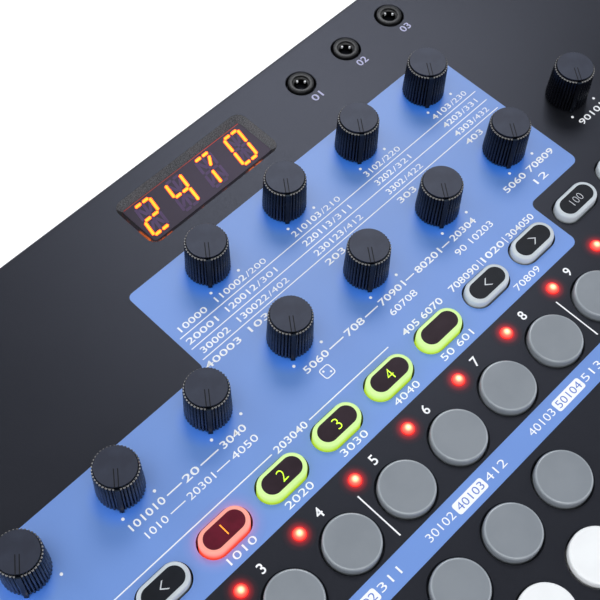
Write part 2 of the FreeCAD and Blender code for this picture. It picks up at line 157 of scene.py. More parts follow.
def skin(bm, loops, slot=0):
    """Closed skin through outlines with as many points, from the lowest to the highest."""
    rows = [[bm.verts.new(Vector(p) * mm) for p in loop] for loop in loops]
    faces = []
    for lower, upper in zip(rows, rows[1:]):
        for i in range(len(lower)):
            j = (i + 1) % len(lower)
            faces.append(bm.faces.new((lower[i], lower[j], upper[j], upper[i])))
    faces.append(bm.faces.new(list(reversed(rows[0]))))
    faces.append(bm.faces.new(rows[-1]))
    for face in faces:
        face.material_index = slot
    return rows


def block(bm, x0, x1, y0, y1, z0, z1, slot=0, edge=0.15):
    """A box with broken edges."""
    x, y, length, width = (x0 + x1) / 2, (y0 + y1) / 2, x1 - x0, y1 - y0
    skin(bm, [rounded(x, y, length - 2 * d, width - 2 * d, edge, z, 2)
              for d, z in ((edge, z0), (0, z0 + edge), (0, z1 - edge), (edge, z1))], slot)


def rim(radius, top, size, steps):
    """(radius, z) of a quarter round from a wall up to a flat top, whose border keeps the shading flat."""
    angles = [math.pi / 2 * i / steps for i in range(steps + 1)]
    curve = [(radius - size + size * math.cos(t), top - size + size * math.sin(t)) for t in angles]
    return curve + [(radius - size - 0.12, top)]


def lathe(bm, x, y, profile, slot=0, count=48):
    return skin(bm, [circle(x, y, r, z, count) for r, z in profile], slot)


def tube(bm, x, y, profile, slot=0):
    """A ring turned from a closed profile of (radius, z) points."""
    rows = [[bm.verts.new(Vector(p) * mm) for p in circle(x, y, r, z)] for r, z in profile]
    for low, high in zip(rows, rows[1:] + rows[:1]):
        for i in range(len(low)):
            j = (i + 1) % len(low)
            bm.faces.new((low[i], low[j], high[j], high[i])).material_index = slot


def to_mesh(bm, name):
    """Turns a bmesh into a mesh whose faces look outward."""
    bmesh.ops.recalc_face_normals(bm, faces=bm.faces)
    mesh = bpy.data.meshes.new(name)
    bm.to_mesh(mesh)
    bm.free()
    return mesh


def piece(name, mesh, materials, body, place=(0, 0, 0), angle=32, nodes=()):
    """Makes a mesh a piece that rides on a body and may stand for CAD nodes."""
    for item in materials:
        mesh.materials.append(item)
    mesh.shade_smooth()
    mesh.set_sharp_from_angle(angle=math.radians(angle))
    obj = bpy.data.objects.new(name, mesh)
    obj.location = Vector(place) * mm
    SCENE.collection.objects.link(obj)
    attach(obj, body)
    if nodes:
        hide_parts(*nodes)


def placed(name, bm, materials, body, place=(0, 0, 0), nodes=()):
    piece(name, to_mesh(bm, name), materials, body, place, nodes=nodes)


def cut(bm, cutters):
    """The first bmesh less the second, both closed."""
    objects = []
    for item in (bm, cutters):
        obj = bpy.data.objects.new("scratch", to_mesh(item, "scratch"))
        SCENE.collection.objects.link(obj)
        objects.append(obj)
    body, tool = objects
    modifier = body.modifiers.new("cut", "BOOLEAN")
    modifier.operation = "DIFFERENCE"
    modifier.solver = "EXACT"
    modifier.object = tool
    graph = bpy.context.evaluated_depsgraph_get()
    mesh = bpy.data.meshes.new_from_object(body.evaluated_get(graph))
    for obj in objects:
        bpy.data.objects.remove(obj)
    return mesh


def sheet_mesh(outlines, z, thickness):
    """Thin flat print inside the outlines; an outline within another is a hole in it."""
    curve = bpy.data.curves.new("scratch", "CURVE")
    curve.dimensions = "2D"
    curve.fill_mode = "BOTH"
    curve.extrude = thickness / 2 * mm
    for points in outlines:
        spline = curve.splines.new("POLY")
        spline.points.add(len(points) - 1)
        for point, (x, y, _) in zip(spline.points, points):
            point.co = (x * mm, y * mm, 0, 1)
        spline.use_cyclic_u = True
    obj = bpy.data.objects.new("scratch", curve)
    mesh = bpy.data.meshes.new_from_object(obj)
    bpy.data.objects.remove(obj)
    mesh.transform(Matrix.Translation((0, 0, (z + thickness / 2) * mm)))
    return mesh


def text_mesh(text, x, y, height, z, thickness, align="CENTER", bold=0.0, wide=None):
    """Figures that high, and as wide as wide says, with their centre, left end or right end on a point."""
    data = bpy.data.curves.new("scratch", "FONT")
    data.body = text
    data.size = 1.0
    data.extrude = 0.01
    data.offset = bold
    data.resolution_u = 3
    obj = bpy.data.objects.new("scratch", data)
    mesh = bpy.data.meshes.new_from_object(obj)
    bpy.data.objects.remove(obj)
    xs = [v.co.x for v in mesh.vertices]
    ys = [v.co.y for v in mesh.vertices]
    scale = height / (max(ys) - min(ys))
    start = {"LEFT": min(xs), "CENTER": (min(xs) + max(xs)) / 2, "RIGHT": max(xs)}[align]
    shift = Matrix.Translation((-start, -(min(ys) + max(ys)) / 2, 0))
    across = wide / (max(xs) - min(xs)) if wide else scale
    size = Matrix.Diagonal((across * mm, scale * mm, thickness / 0.02 * mm, 1))
    spot = Matrix.Translation(Vector((x, y, z + thickness / 2)) * mm)
    mesh.transform(spot @ size @ shift)
    return mesh


def welded(meshes):
    """Joins meshes into one bmesh and closes their seams."""
    bm = bmesh.new()
    for mesh in meshes:
        bm.from_mesh(mesh)
        bpy.data.meshes.remove(mesh)
    bmesh.ops.remove_doubles(bm, verts=bm.verts, dist=1e-7)
    return bm


# Materials

def linear(r, g, b):
    """A plain linear colour from one given as 0 to 255 on screen."""
    return tuple(c / 255 / 12.92 if c <= 10 else ((c / 255 + 0.055) / 1.055) ** 2.4 for c in (r, g, b))


def add(tree, kind, inputs, **settings):
    """A new node whose inputs are set to values or fed from other nodes' outputs."""
    node = tree.nodes.new("ShaderNode" + kind)
    for key, value in settings.items():
        setattr(node, key, value)
    for key, value in inputs.items():
        if isinstance(value, bpy.types.NodeSocket):
            tree.links.new(value, node.inputs[key])
        else:
            node.inputs[key].default_value = value
    return node


def object_place(tree):
    return add(tree, "TexCoord", {}).outputs["Object"]


def mapped(tree, value, low, high, start=0.0, end=1.0, kind="LINEAR"):
    """The value, changed so that low to high becomes start to end."""
    return add(tree, "MapRange", {"Value": value, "From Min": low, "From Max": high, "To Min": start,
                                  "To Max": end}, interpolation_type=kind).outputs["Result"]


def ramp(tree, source, stops):
    """The colour that the stops, each a position and a plain linear colour, give to the source's value."""
    node = add(tree, "ValToRGB", {"Fac": source})
    elements = node.color_ramp.elements
    while len(elements) < len(stops):
        elements.new(0.5)
    for element, (position, colour) in zip(elements, stops):
        element.position = position
        element.color = (*colour, 1)
    return node.outputs["Color"]


def coat(name, low, high, roughness=0.5, spread=0.08, blotch=60, grain=2500, bump=0.15, depth=0.05,
         gloss=0.5, **sockets):
    """Surface of two near shades mixed in soft blotches, with a fine grain in its roughness and relief.
    Shades are colours on screen, blotch and grain are repeats per metre, depth is the relief in millimetres
    and gloss is the specular level."""
    material = bpy.data.materials.new(name)
    material.use_nodes = True
    tree = material.node_tree
    where = object_place(tree)
    soft = add(tree, "TexNoise", {"Vector": where, "Scale": blotch, "Detail": 3}).outputs["Fac"]
    fine = add(tree, "TexNoise", {"Vector": where, "Scale": grain, "Detail": 2}).outputs["Fac"]
    rough = mapped(tree, fine, 0.3, 0.7, roughness - spread, roughness + spread)
    relief = add(tree, "Bump", {"Height": fine, "Strength": bump, "Distance": depth * mm})
    shade = ramp(tree, soft, ((0.35, linear(*low)), (0.65, linear(*high))))
    shader = tree.nodes["Principled BSDF"]
    tree.links.new(shade, shader.inputs["Base Color"])
    tree.links.new(rough, shader.inputs["Roughness"])
    tree.links.new(relief.outputs["Normal"], shader.inputs["Normal"])
    shader.inputs["Specular IOR Level"].default_value = gloss
    for key, value in sockets.items():
        shader.inputs[key.replace("_", " ")].default_value = value
    return material


def shine(material, colour, strength=1.0):
    """Gives the material a light of its own."""
    shader = material.node_tree.nodes["Principled BSDF"]
    material.node_tree.links.new(colour, shader.inputs["Emission Color"])
    shader.inputs["Emission Strength"].default_value = strength
    return material


def glow(name, low, high, strength):
    """A lit surface: its light varies a little between two colours on screen."""
    material = coat(name, low, high, roughness=0.35, spread=0.04)
    base = material.node_tree.nodes["Principled BSDF"].inputs["Base Color"]
    return shine(material, base.links[0].from_socket, strength)


def lamp(name, low, high):
    """A source brighter than the screen shows: two plain linear colours, mixed in soft blotches."""
    material = glow(name, (0, 0, 0), (0, 0, 0), 1.0)
    tree = material.node_tree
    shader = tree.nodes["Principled BSDF"]
    base = shader.inputs["Base Color"]
    for element, colour in zip(base.links[0].from_node.color_ramp.elements, (low, high)):
        element.color = (*colour, 1)
    tree.links.remove(base.links[0])
    base.default_value = (0.1, 0.05, 0.03, 1)
    shader.inputs["Specular IOR Level"].default_value = 0.12
    return material


def backlit(name, low, high, root, crown):
    """Milky plastic lit from below: its light turns from root at the panel to crown at its top."""
    material = coat(name, low, high, 0.32, 0.04, 200, 4000, 0.06)
    tree = material.node_tree
    split = add(tree, "SeparateXYZ", {0: object_place(tree)})
    height = mapped(tree, split.outputs["Z"], (panel_top - 0.4) * mm, (panel_top + pill_rise) * mm)
    return shine(material, ramp(tree, height, ((0.0, root), (1.0, crown))))


def radial(material, stops, start, end, half=0.0):
    """Adds light round the piece's own axis, or round a line that reaches half to each side along X. Stops
    give how far out, from start to end in millimetres, and the plain linear colour there."""
    tree = material.node_tree
    split = add(tree, "SeparateXYZ", {0: object_place(tree)})
    across = split.outputs["X"]
    for operation, value in (("ABSOLUTE", 0.0), ("SUBTRACT", half * mm), ("MAXIMUM", 0.0)):
        across = add(tree, "Math", {0: across, 1: value}, operation=operation).outputs[0]
    flat = add(tree, "CombineXYZ", {"X": across, "Y": split.outputs["Y"]})
    reach = add(tree, "VectorMath", {0: flat.outputs["Vector"]}, operation="LENGTH")
    out = mapped(tree, reach.outputs["Value"], start * mm, end * mm)
    return shine(material, ramp(tree, out, stops))


def paint_shade_round(material, places, height, start, end, tint):
    """Paints shade into the base colour, turning it to the plain linear colour tint round each place: full up
    to start, none from end, in millimetres."""
    tree = material.node_tree
    where = object_place(tree)
    closest = 1.0
    for x, y in places:
        gap = add(tree, "VectorMath", {0: where, 1: (x * mm, y * mm, height * mm)}, operation="DISTANCE")
        closest = add(tree, "Math", {0: gap.outputs["Value"], 1: closest}, operation="MINIMUM").outputs[0]
    fade = mapped(tree, closest, start * mm, end * mm, 1.0, 0.0, "SMOOTHSTEP")
    base = tree.nodes["Principled BSDF"].inputs["Base Color"]
    blend = add(tree, "MixRGB", {"Fac": fade, "Color1": base.links[0].from_socket, "Color2": (*tint, 1)})
    tree.links.new(blend.outputs["Color"], base)
    return material


def panel_black(name):
    return coat(name, (12, 13, 16), (17, 18, 21), 0.40, 0.05, 40, 2600, 0.2, 0.05,
                gloss=0.60, Specular_Tint=(0.76, 0.80, 1.0, 1))


def panel_blue(name):
    return coat(name, (77, 129, 208), (81, 133, 212), 0.50, 0.04, 30, 3000, 0.06, 0.03,
                gloss=1.0, IOR=1.74)


# Light falls off in these steps: how far out, and the plain linear colour there
led_ramp = ((0.0, (6.0, 2.0, 1.1)), (0.28, (5.0, 1.0, 0.5)), (0.6, (3.0, 0.18, 0.10)),
            (1.0, (1.1, 0.015, 0.012)))
led_halo_ramp = ((0.0, (0.80, 0.006, 0.008)), (0.25, (0.20, 0.002, 0.003)), (0.6, (0.026, 0.0, 0.0)),
                 (1.0, (0.0, 0.0, 0.0)))
pill_halo_ramp = ((0.0, (0.42, 0.02, 0.04)), (0.25, (0.14, 0.006, 0.010)), (0.6, (0.03, 0.0, 0.0)),
                  (1.0, (0.0, 0.0, 0.0)))

# Painted shade: the print is turned a deeper blue at the knobs' feet, mostly to the left and the front of
# them, where their shade falls
painted_shade_shift = (-1.7, -1.5)
knob_painted_shades = [(x + painted_shade_shift[0], y + painted_shade_shift[1]) for x, y in front_knobs + rear_knobs]

case_black = panel_black("case_black")
case_smooth = coat("case_smooth", (15, 15, 18), (20, 20, 23), 0.2, 0.04, 40, 3200, 0.04, gloss=0.6)
# Coarse, and much lighter than the case: painted light on the display slopes that face the light
case_rough_painted_light = coat("case_rough_painted_light", (22, 24, 27), (88, 91, 97), 0.5, 0.1, 4200, 2600, 0.4, 0.06)
# The blue print, with painted shade round the knobs' feet
print_blue_and_painted_shade = paint_shade_round(panel_blue("print_blue_and_painted_shade"), knob_painted_shades, panel_top, 3.7, 7.7, (0.010, 0.185, 0.82))
print_white = coat("print_white", (242, 244, 247), (248, 249, 251), 0.55, 0.05, 300, 3000, 0.05)
print_hollow = coat("print_hollow", (84, 118, 196), (90, 124, 202), 0.50, 0.05, 30, 3000, 0.05)
print_lilac = coat("print_lilac", (172, 172, 204), (180, 180, 212), 0.50, 0.05, 30, 3000, 0.05)
knob_black = coat("knob_black", (4, 4, 7), (7, 7, 10), 0.26, 0.05, 300, 5000, 0.06, 0.03,
                  gloss=0.28, Specular_Tint=(0.45, 0.66, 1.0, 1))
# Glossier, and painted a lighter grey than the skirt as glints on the sloped ends of the ribs
knob_rim_painted_glint = coat("knob_rim_painted_glint", (30, 30, 33), (38, 38, 41), 0.18, 0.03, 300, 5000, 0.03, 0.03,
                gloss=1.0, IOR=1.75)
knob_cap = coat("knob_cap", (35, 38, 49), (42, 46, 58), 0.44, 0.05, 300, 4200, 0.12, 0.03,
                gloss=0.52, Specular_Tint=(0.80, 0.84, 1.0, 1))
# Near-black strips on the cap: painted shade standing for a pair of grooves
knob_groove_painted_shade = coat("knob_groove_painted_shade", (6, 6, 7), (10, 10, 11), 0.6, 0.08, 300, 6000, 0.1, gloss=0.2)
cap_grey = coat("cap_grey", (126, 132, 138), (132, 138, 144), 0.34, 0.04, 120, 5200, 0.06, 0.02)
# Glossier and a lighter grey than the caps' tops: a painted highlight along their rims
cap_rim_highlight = coat("cap_rim_highlight", (148, 155, 161), (156, 163, 169), 0.22, 0.04, 120, 5200, 0.04, 0.02, gloss=1.0)
cap_white = coat("cap_white", (234, 236, 236), (240, 242, 242), 0.36, 0.04, 120, 5200, 0.06, 0.02)
pill_pale = coat("pill_pale", (188, 196, 201), (198, 206, 211), 0.32, 0.05, 200, 4000, 0.06)
pill_green = backlit("pill_green", (120, 172, 84), (140, 190, 100), (0.42, 0.62, 0.02), (0.46, 0.52, 0.25))
pill_red = backlit("pill_red", (176, 70, 66), (196, 84, 78), (0.95, 0.06, 0.03), (0.56, 0.32, 0.25))
pill_black = coat("pill_black", (36, 22, 30), (44, 30, 38), 0.42, 0.06, 300, 5000, 0.08, gloss=0.22)
pill_ruby = coat("pill_ruby", (80, 8, 28), (98, 13, 36), 0.42, 0.06, 300, 5000, 0.08, gloss=0.22)
pill_slate = coat("pill_slate", (13, 17, 24), (18, 22, 30), 0.42, 0.06, 300, 5000, 0.08, gloss=0.25)
mark_green = glow("mark_green", (190, 240, 40), (204, 250, 60), 0.85)
mark_orange = glow("mark_orange", (250, 130, 30), (255, 150, 44), 0.9)
mark_grey = coat("mark_grey", (190, 194, 200), (206, 210, 214), 0.5, 0.05, 300, 4000, 0.05)
led_red = radial(panel_black("led_red"), led_ramp, 0.0, 1.6)
led_halo = radial(panel_black("led_halo"), led_halo_ramp, 1.4, led_halo_radius)
pill_halo = radial(panel_blue("pill_halo"), pill_halo_ramp, 3.4, 6.9, (pill_size[0] - pill_size[1]) / 2)
# The filter's purple tint, in its colour and its reflections, is a painted red glow from the lit segments
filter_dark = coat("filter_dark", (28, 20, 36), (36, 25, 46), 0.44, 0.04, 60, 5000, 0.05,
                   gloss=0.45, Specular_Tint=(0.96, 0.86, 1.0, 1))
segment_off = coat("segment_off", (62, 40, 78), (72, 48, 90), 0.5, 0.04, 300, 4000, 0.05, gloss=0.45)
segment_fringe = lamp("segment_fringe", (0.8, 0.02, 0.0), (1.0, 0.04, 0.0))
segment_lit = lamp("segment_lit", (4.2, 0.70, 0.01), (4.2, 0.86, 0.03))
edge_light = lamp("edge_light", (0.20, 0.004, 0.008), (0.55, 0.01, 0.02))
jack_black = coat("jack_black", (13, 13, 15), (18, 18, 20), 0.34, 0.06, 300, 4000, 0.06, gloss=0.5)
jack_metal = coat("jack_metal", (150, 148, 144), (176, 174, 170), 0.28, 0.06, 600, 4000, 0.1, Metallic=1.0)
# Near-white and glossy: painted glints on the sockets' contacts
jack_contact_glint = coat("jack_contact_glint", (226, 228, 230), (240, 241, 243), 0.22, 0.05, 600, 4000, 0.05, gloss=1.0)
# Darker and duller than the sockets' black plastic: painted shade deep in the bores
bore_black_and_painted_shade = coat("bore_black_and_painted_shade", (4, 4, 5), (7, 7, 8), 0.6, 0.05, 300, 4000, 0.1, gloss=0.1)
slider_grey = coat("slider_grey", (58, 60, 63), (68, 70, 73), 0.45, 0.06, 300, 4000, 0.1)
speaker_black = coat("speaker_black", (20, 20, 21), (28, 28, 29), 0.7, 0.08, 500, 2500, 0.3)
foot_rubber = coat("foot_rubber", (22, 22, 23), (30, 30, 31), 0.75, 0.08, 400, 3500, 0.4, 0.05)
screw_steel = coat("screw_steel", (40, 40, 43), (60, 60, 64), 0.36, 0.08, 900, 5000, 0.15, Metallic=1.0)
contact_metal = coat("contact_metal", (176, 174, 166), (198, 196, 190), 0.3, 0.08, 500, 3000, 0.15,
                     Metallic=1.0)
board_green = coat("board_green", (16, 62, 40), (22, 78, 50), 0.38, 0.06, 200, 2500, 0.1)
chip_black = coat("chip_black", (22, 22, 24), (30, 30, 32), 0.55, 0.06, 400, 4000, 0.2)
switch_black = coat("switch_black", (28, 28, 30), (36, 36, 38), 0.5, 0.06, 400, 4000, 0.1)
pot_grey = coat("pot_grey", (118, 120, 124), (140, 142, 146), 0.38, 0.06, 400, 3000, 0.1, Metallic=1.0)
module_body = coat("module_body", (190, 190, 186), (204, 204, 200), 0.5, 0.06, 300, 3000, 0.1)

finishes = {
    "lower_case": case_black, "battery_door": case_black, "battery_contacts": contact_metal,
    "control_board": board_green, "board_chips": chip_black, "key_switches": switch_black,
    "pot_bodies": pot_grey, "display_module": module_body, "power_switch_body": switch_black,
}
for node, finish in finishes.items():
    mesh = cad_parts[node].data
    mesh.materials.clear()
    mesh.materials.append(finish)


# Upper case: a shell with rounded edges, less every opening with its broken lip

def hole(bm, outline, lip=0.2):
    """Cutter for one opening; outline gives its points for a margin and a height."""
    skin(bm, [outline(0.0, panel_under - 3), outline(0.0, panel_top - lip),
              outline(lip + 0.3, panel_top + 0.3)])


def round_hole(bm, x, y, radius, count=48):
    hole(bm, lambda margin, z: circle(x, y, radius + margin, z, count))


def pill_hole(bm, x, y, length, width):
    hole(bm, lambda margin, z: pill(x, y, length + 2 * margin, width + 2 * margin, z))


def slot_hole(bm, x, y, length, width, corner):
    hole(bm, lambda margin, z: rounded(x, y, length + 2 * margin, width + 2 * margin, corner + margin, z, 3))


def shell_and_openings():
    """The case's outer form and the cutters for its inside and for every opening."""
    shell = bmesh.new()
    loops = [rounded(0, 0, 2 * half_width, 2 * half_depth, corner_radius, split_z, 12)]
    for radius, z in rim(0.0, panel_top, 0.8, 4):
        loops.append(rounded(0, 0, 2 * (half_width + radius), 2 * (half_depth + radius),
                             corner_radius + radius, z, 12))
    skin(shell, loops)
    tools = bmesh.new()
    skin(tools, [rounded(0, 0, 2 * (half_width - wall), 2 * (half_depth - wall), corner_radius - wall, z, 12)
                 for z in (split_z - 3, panel_under)])
    for x, y in step_caps + white_caps + black_caps:
        round_hole(tools, x, y, cap_radius + cap_gap)
    for x in columns:
        pill_hole(tools, x, pill_y, pill_size[0] + 2 * pill_gap, pill_size[1] + 2 * pill_gap)
        round_hole(tools, x + led_offset, led_y, led_radius + 0.1, 24)
    for x, y in front_knobs + rear_knobs:
        round_hole(tools, x, y, knob_hole)
    for x in jack_xs:
        round_hole(tools, x, jack_y, jack_hole)
    round_hole(tools, inlet_x, jack_y, inlet_hole)
    slot_hole(tools, switch_x, jack_y, *switch_slot, 0.4)
    for i in range(7):
        y = (i - 3) * grille_pitch
        pill_hole(tools, speaker_x, speaker_y + y, 2 * math.sqrt(grille_radius ** 2 - y ** 2), grille_slot)
    length, width = display_opening
    window = [(0.0, 1.0, panel_under - 3), (0.0, 1.0, panel_top - 1.7), (1.45, 2.6, panel_top - 0.2),
              (1.62, 2.75, panel_top - 0.03), (1.9, 3.0, panel_top + 0.3)]
    skin(tools, [rounded(display_x, display_y, length + 2 * m, width + 2 * m, r, z) for m, r, z in window])
    return shell, tools


def build_upper_case():
    """The slopes round the display have a coarse texture on the two sides that face the player's left and
    front, with painted light in a lighter grey there, and are dark and smooth on the other two."""
    mesh = cut(*shell_and_openings())
    for face in mesh.polygons:
        x, y, z = face.center / mm
        slope = face.normal
        near = abs(x - display_x) < 22.0 and abs(y - display_y) < 8.3
        if near and panel_top - 1.8 < z < panel_top - 0.02 and slope.z < 0.97:
            face.material_index = 2 if min(slope.x, slope.y) < -0.35 else 1
        else:
            face.material_index = 0
    piece("upper_shell", mesh, [case_black, case_smooth, case_rough_painted_light], "case", nodes=["upper_case"])


build_upper_case()


# Print. Places are measured from the second front knob.
print_x = -102.0
print_y = 26.7
above = panel_top + ink
labels = []
marks = []


def shifted(points):
    return [(x + print_x, y + print_y, z) for x, y, z in points]


def bar(x0, x1, y0, y1, radius=0.0, steps=3):
    return shifted(bent([(x0, y0, radius), (x1, y0, radius), (x1, y1, radius), (x0, y1, radius)], steps))


def build_blue():
    """A field with a step in two of its corners, open round the knobs and pills, and a stripe before the step
    buttons."""
    left, front, rear = -38.3, -30.2, 34.2
    right_low, right_high = 119.2, 138.8
    area = [(32.0, rear, 1.5), (32.0, 8.0, 1.5), (left, 8.0, 1.5), (left, front, 2.0),
            (right_low, front, 2.0), (right_low, -15.1, 2.0), (right_high, -15.1, 2.0),
            (right_high, rear, 2.0)]
    outlines = [shifted(bent(area))]
    for x, y in front_knobs + rear_knobs:
        if x < right_high + print_x:
            outlines.append(circle(x, y, knob_hole + 0.25, 0))
    for x in columns:
        if x < right_low + print_x:
            outlines.append(pill(x, pill_y, pill_size[0] + 2 * print_gap, pill_size[1] + 2 * print_gap))
    stripe = [bar(left, 242.3, -56.95, -50.9, 1.0, 6)]
    bm = welded([sheet_mesh(outlines, panel_top, ink), sheet_mesh(stripe, panel_top, ink)])
    placed("panel_print_blue_and_painted_shade", bm, [print_blue_and_painted_shade], "case")


build_blue()


def number(text, x, y, height, wide=None, align="CENTER", bold=0.0):
    labels.append(text_mesh(text, x + print_x, y + print_y, height, above, ink, align, bold, wide))


def dash(x0, x1, y, width=0.3):
    marks.append(bar(x0, x1, y - width / 2, y + width / 2))


def list_grid():
    """Four rows of long numbers between the rear and the front knobs, with lines between the rows."""
    capital, small = 1.65, 1.5
    first_widths = (8.4, 9.3, 8.5, 10.7)
    column_widths = ((9.4, 6.2), (9.4, 6.2), (5.8, 6.2), (6.6, 5.6))
    for row, y in enumerate((19.2, 15.5, 11.7, 8.0)):
        number("%d000%d" % (row + 1, row), 43.0, y, capital, first_widths[row], "RIGHT", 0.008)
        for col, (first, second) in enumerate(column_widths):
            x = 46.0 + knob_pitch * col
            if row == 3:
                number("%d0%d" % (col + 1, row), x, y, capital, 6.0, "LEFT", 0.008)
                continue
            figures = 6 if first > 8 else 4
            text = "%d%d0%d%d%d" % (col + 1, row + 1, col, row, col + 2)
            number(text[:figures], x, y, capital, first, "LEFT", 0.008)
            number("/%d%d%d" % (row + 2, col, row), x + first + 0.4, y - 0.1, small, second, "LEFT", -0.004)
    for y in (17.4, 13.6, 9.9):
        dash(33.2, 137.2, y, 0.24)


def list_knob_labels():
    for x, text, wide in ((0, "101010", 9.5), (12.5, "20", 4.2), (25, "3040", 7.0), (51, "5060", 7.4),
                          (63.7, "708", 5.8), (76.5, "70901", 8.4), (89.3, "80201", 8.7), (102, "20304", 8.5),
                          (127.3, "5060 70809", 18.6), (153, "90101", 9.0)):
        number(text, x, -8.35, 1.8, wide, bold=0.010)
    for x0, x1 in ((5.6, 9.8), (15.3, 20.6), (55.4, 60.0), (67.3, 71.6), (81.4, 84.2), (94.4, 97.0)):
        dash(x0, x1, -8.35)
    for x, text, wide in ((-0.5, "1010", 5.8), (12.2, "20301", 7.5), (25.0, "4050", 7.4),
                          (76.5, "60708", 8.7), (102, "90 10203", 13.0), (127.7, "12", 4.3)):
        number(text, x, -11.9, 1.75, wide)
    for x0, x1 in ((3.4, 7.6), (16.8, 20.6)):
        dash(x0, x1, -11.9, 0.24)


def list_pill_labels():
    number("203040", 33.7, -17.35, 1.8, 9.6, bold=0.010)
    dash(-36.0, 27.9, -17.35, 0.27)
    dash(39.5, 65.3, -17.35, 0.27)
    for x, text, wide in ((76.8, "405 6070", 13.3), (91.7, "708090", 9.9), (102.3, "1020", 7.6),
                          (112.6, "304050", 9.3)):
        number(text, x, -17.5, 1.8, wide, bold=0.010)
    for x in (97.6, 106.9):
        marks.append(bar(x - 0.11, x + 0.11, -18.6, -16.4))
    for x, text, wide in ((8.5, "1010", 7.8), (25.5, "2020", 7.8), (42.5, "3030", 7.8), (59.6, "4040", 7.8),
                          (76.9, "50 601", 10.4), (102.3, "70809", 8.6)):
        number(text, x, -28.1, 1.75, wide)


def list_marks():
    """Step numbers, bars between groups of four steps, two dots at each knob and the sign of a die."""
    for n, x in enumerate(columns):
        number(str(n + 1), x - print_x, -33.7, 2.45, bold=0.012)
    for k in range(5):
        x = -34.0 + 4 * step_pitch * k
        marks.append(bar(x - 0.17, x + 0.17, -49.2, -37.0))
    for x, y in front_knobs + rear_knobs:
        for side in (-4.44, 4.44):
            marks.append(circle(x + side, y - 5.68, 0.37, 0, 16))
    x0, x1, y0, y1, line = 49.4, 52.5, -13.35, -10.4, 0.24
    marks.append(bar(x0, x1, y0, y1, 0.7))
    marks.append(bar(x0 + line, x1 - line, y0 + line, y1 - line, 0.5))
    for x, y in ((50.3, -11.3), (51.6, -12.45)):
        marks.append(shifted(circle(x, y, 0.27, 0, 12)))


def build_white():
    """The white print, and the figures in its boxes on the stripe."""
    list_grid()
    list_knob_labels()
    list_pill_labels()
    list_marks()
    boxes = []
    boxed = []
    y = -53.95
    for k in range(8):
        x = -17.0 + 2 * step_pitch * k
        boxes.append(bar(x - 4.7, x + 4.7, -55.4, -52.5, 0.6))
        number("%d010%d" % (k + 1, k), x - 9.6, y, 1.9, 8.2, bold=-0.006)
        number("%d1%d" % (k + 2, k), x + 8.4, y, 1.9, 6.2, bold=-0.006)
        boxed.append(text_mesh("%d010%d" % (k + 2, k + 1), x + print_x, y + print_y, 1.85, above + ink, ink,
                               bold=-0.006, wide=8.0))
    bm = welded(labels + [sheet_mesh(marks + boxes, above, ink)])
    placed("panel_print_white", bm, [print_white], "case")
    placed("panel_print_on_white", welded(boxed), [print_hollow], "case")


def build_lilac():
    """The sockets' numbers."""
    meshes = [text_mesh("%02d" % (n + 1), x, jack_y - 5.9, 2.1, panel_top, ink, bold=0.012, wide=3.2)
              for n, x in enumerate(jack_xs)]
    placed("panel_print_lilac", welded(meshes), [print_lilac], "case")


build_white()
build_lilac()


# Display: dark filter, and four characters drawn with sixteen segments each
segments = {
    "a": ((-1, 1), (0, 1)), "A": ((0, 1), (1, 1)), "b": ((1, 1), (1, 0)), "c": ((1, 0), (1, -1)),
    "d": ((-1, -1), (0, -1)), "D": ((0, -1), (1, -1)), "e": ((-1, 0), (-1, -1)), "f": ((-1, 1), (-1, 0)),
    "g": ((-1, 0), (0, 0)), "G": ((0, 0), (1, 0)), "h": ((-1, 1), (0, 0)), "i": ((0, 1), (0, 0)),
    "j": ((1, 1), (0, 0)), "k": ((-1, -1), (0, 0)), "l": ((0, 0), (0, -1)), "m": ((0, 0), (1, -1)),
}
shown = ("aAbGgedD", "fgGbc", "aAjl", "aAbcdDef")
filter_top = panel_top - 1.7
character_pitch = 10.0
character_lean = math.tan(math.radians(11))


def segment(key, column, width, gap):
    """Outline of one segment: a bar with pointed ends, leaning with the character."""
    (x0, y0), (x1, y1) = segments[key]
    half_x, half_y = 2.35, 4.63
    start = Vector((x0 * half_x, y0 * half_y))
    end = Vector((x1 * half_x, y1 * half_y))
    if key in "hjkm":
        middle = (start + end) / 2
        start = middle + (start - middle) * 0.66
        end = middle + (end - middle) * 0.66
    along = (end - start).normalized()
    side = Vector((-along.y, along.x)) * width / 2
    start += along * gap
    end -= along * gap
    tip = along * width * 0.3
    points = [start, start + tip - side, end - tip - side, end, end - tip + side, start + tip + side]
    x = display_x - 0.4 + character_pitch * (column - 1.5)
    return [(x + p.x + p.y * character_lean, display_y + p.y, 0) for p in points]


def build_display():
    """Filter, unlit and lit segments with their fringe, and a line of light along the filter's rear edge."""
    length, width = display_opening
    bm = bmesh.new()
    skin(bm, [rounded(display_x, display_y, length - 0.06, width - 0.06, 0.95, z, 6)
              for z in (34.4, filter_top)])
    placed("display_filter", bm, [filter_dark], "case", nodes=["display_window"])
    off, lit = [], []
    for column, keys in enumerate(shown):
        for key in segments:
            (lit if key in keys else off).append((key, column))
    rows = (("display_segments_off", off, 0.8, 0.24, 0.0, segment_off),
            ("display_segments_fringe", lit, 1.12, 0.06, 0.0, segment_fringe),
            ("display_segments_lit", lit, 0.76, 0.22, 0.02, segment_lit))
    for name, chosen, width, gap, lift, finish in rows:
        meshes = [sheet_mesh([segment(key, column, width, gap)], filter_top + lift, 0.02)
                  for key, column in chosen]
        placed(name, welded(meshes), [finish], "case")
    corners = ((-19.3, 5.74), (19.4, 5.74), (19.4, 5.94), (-19.3, 5.94))
    edge = [(display_x + x, display_y + y, 0) for x, y in corners]
    placed("display_edge_light", welded([sheet_mesh([edge], filter_top, 0.02)]), [edge_light], "case")


build_display()


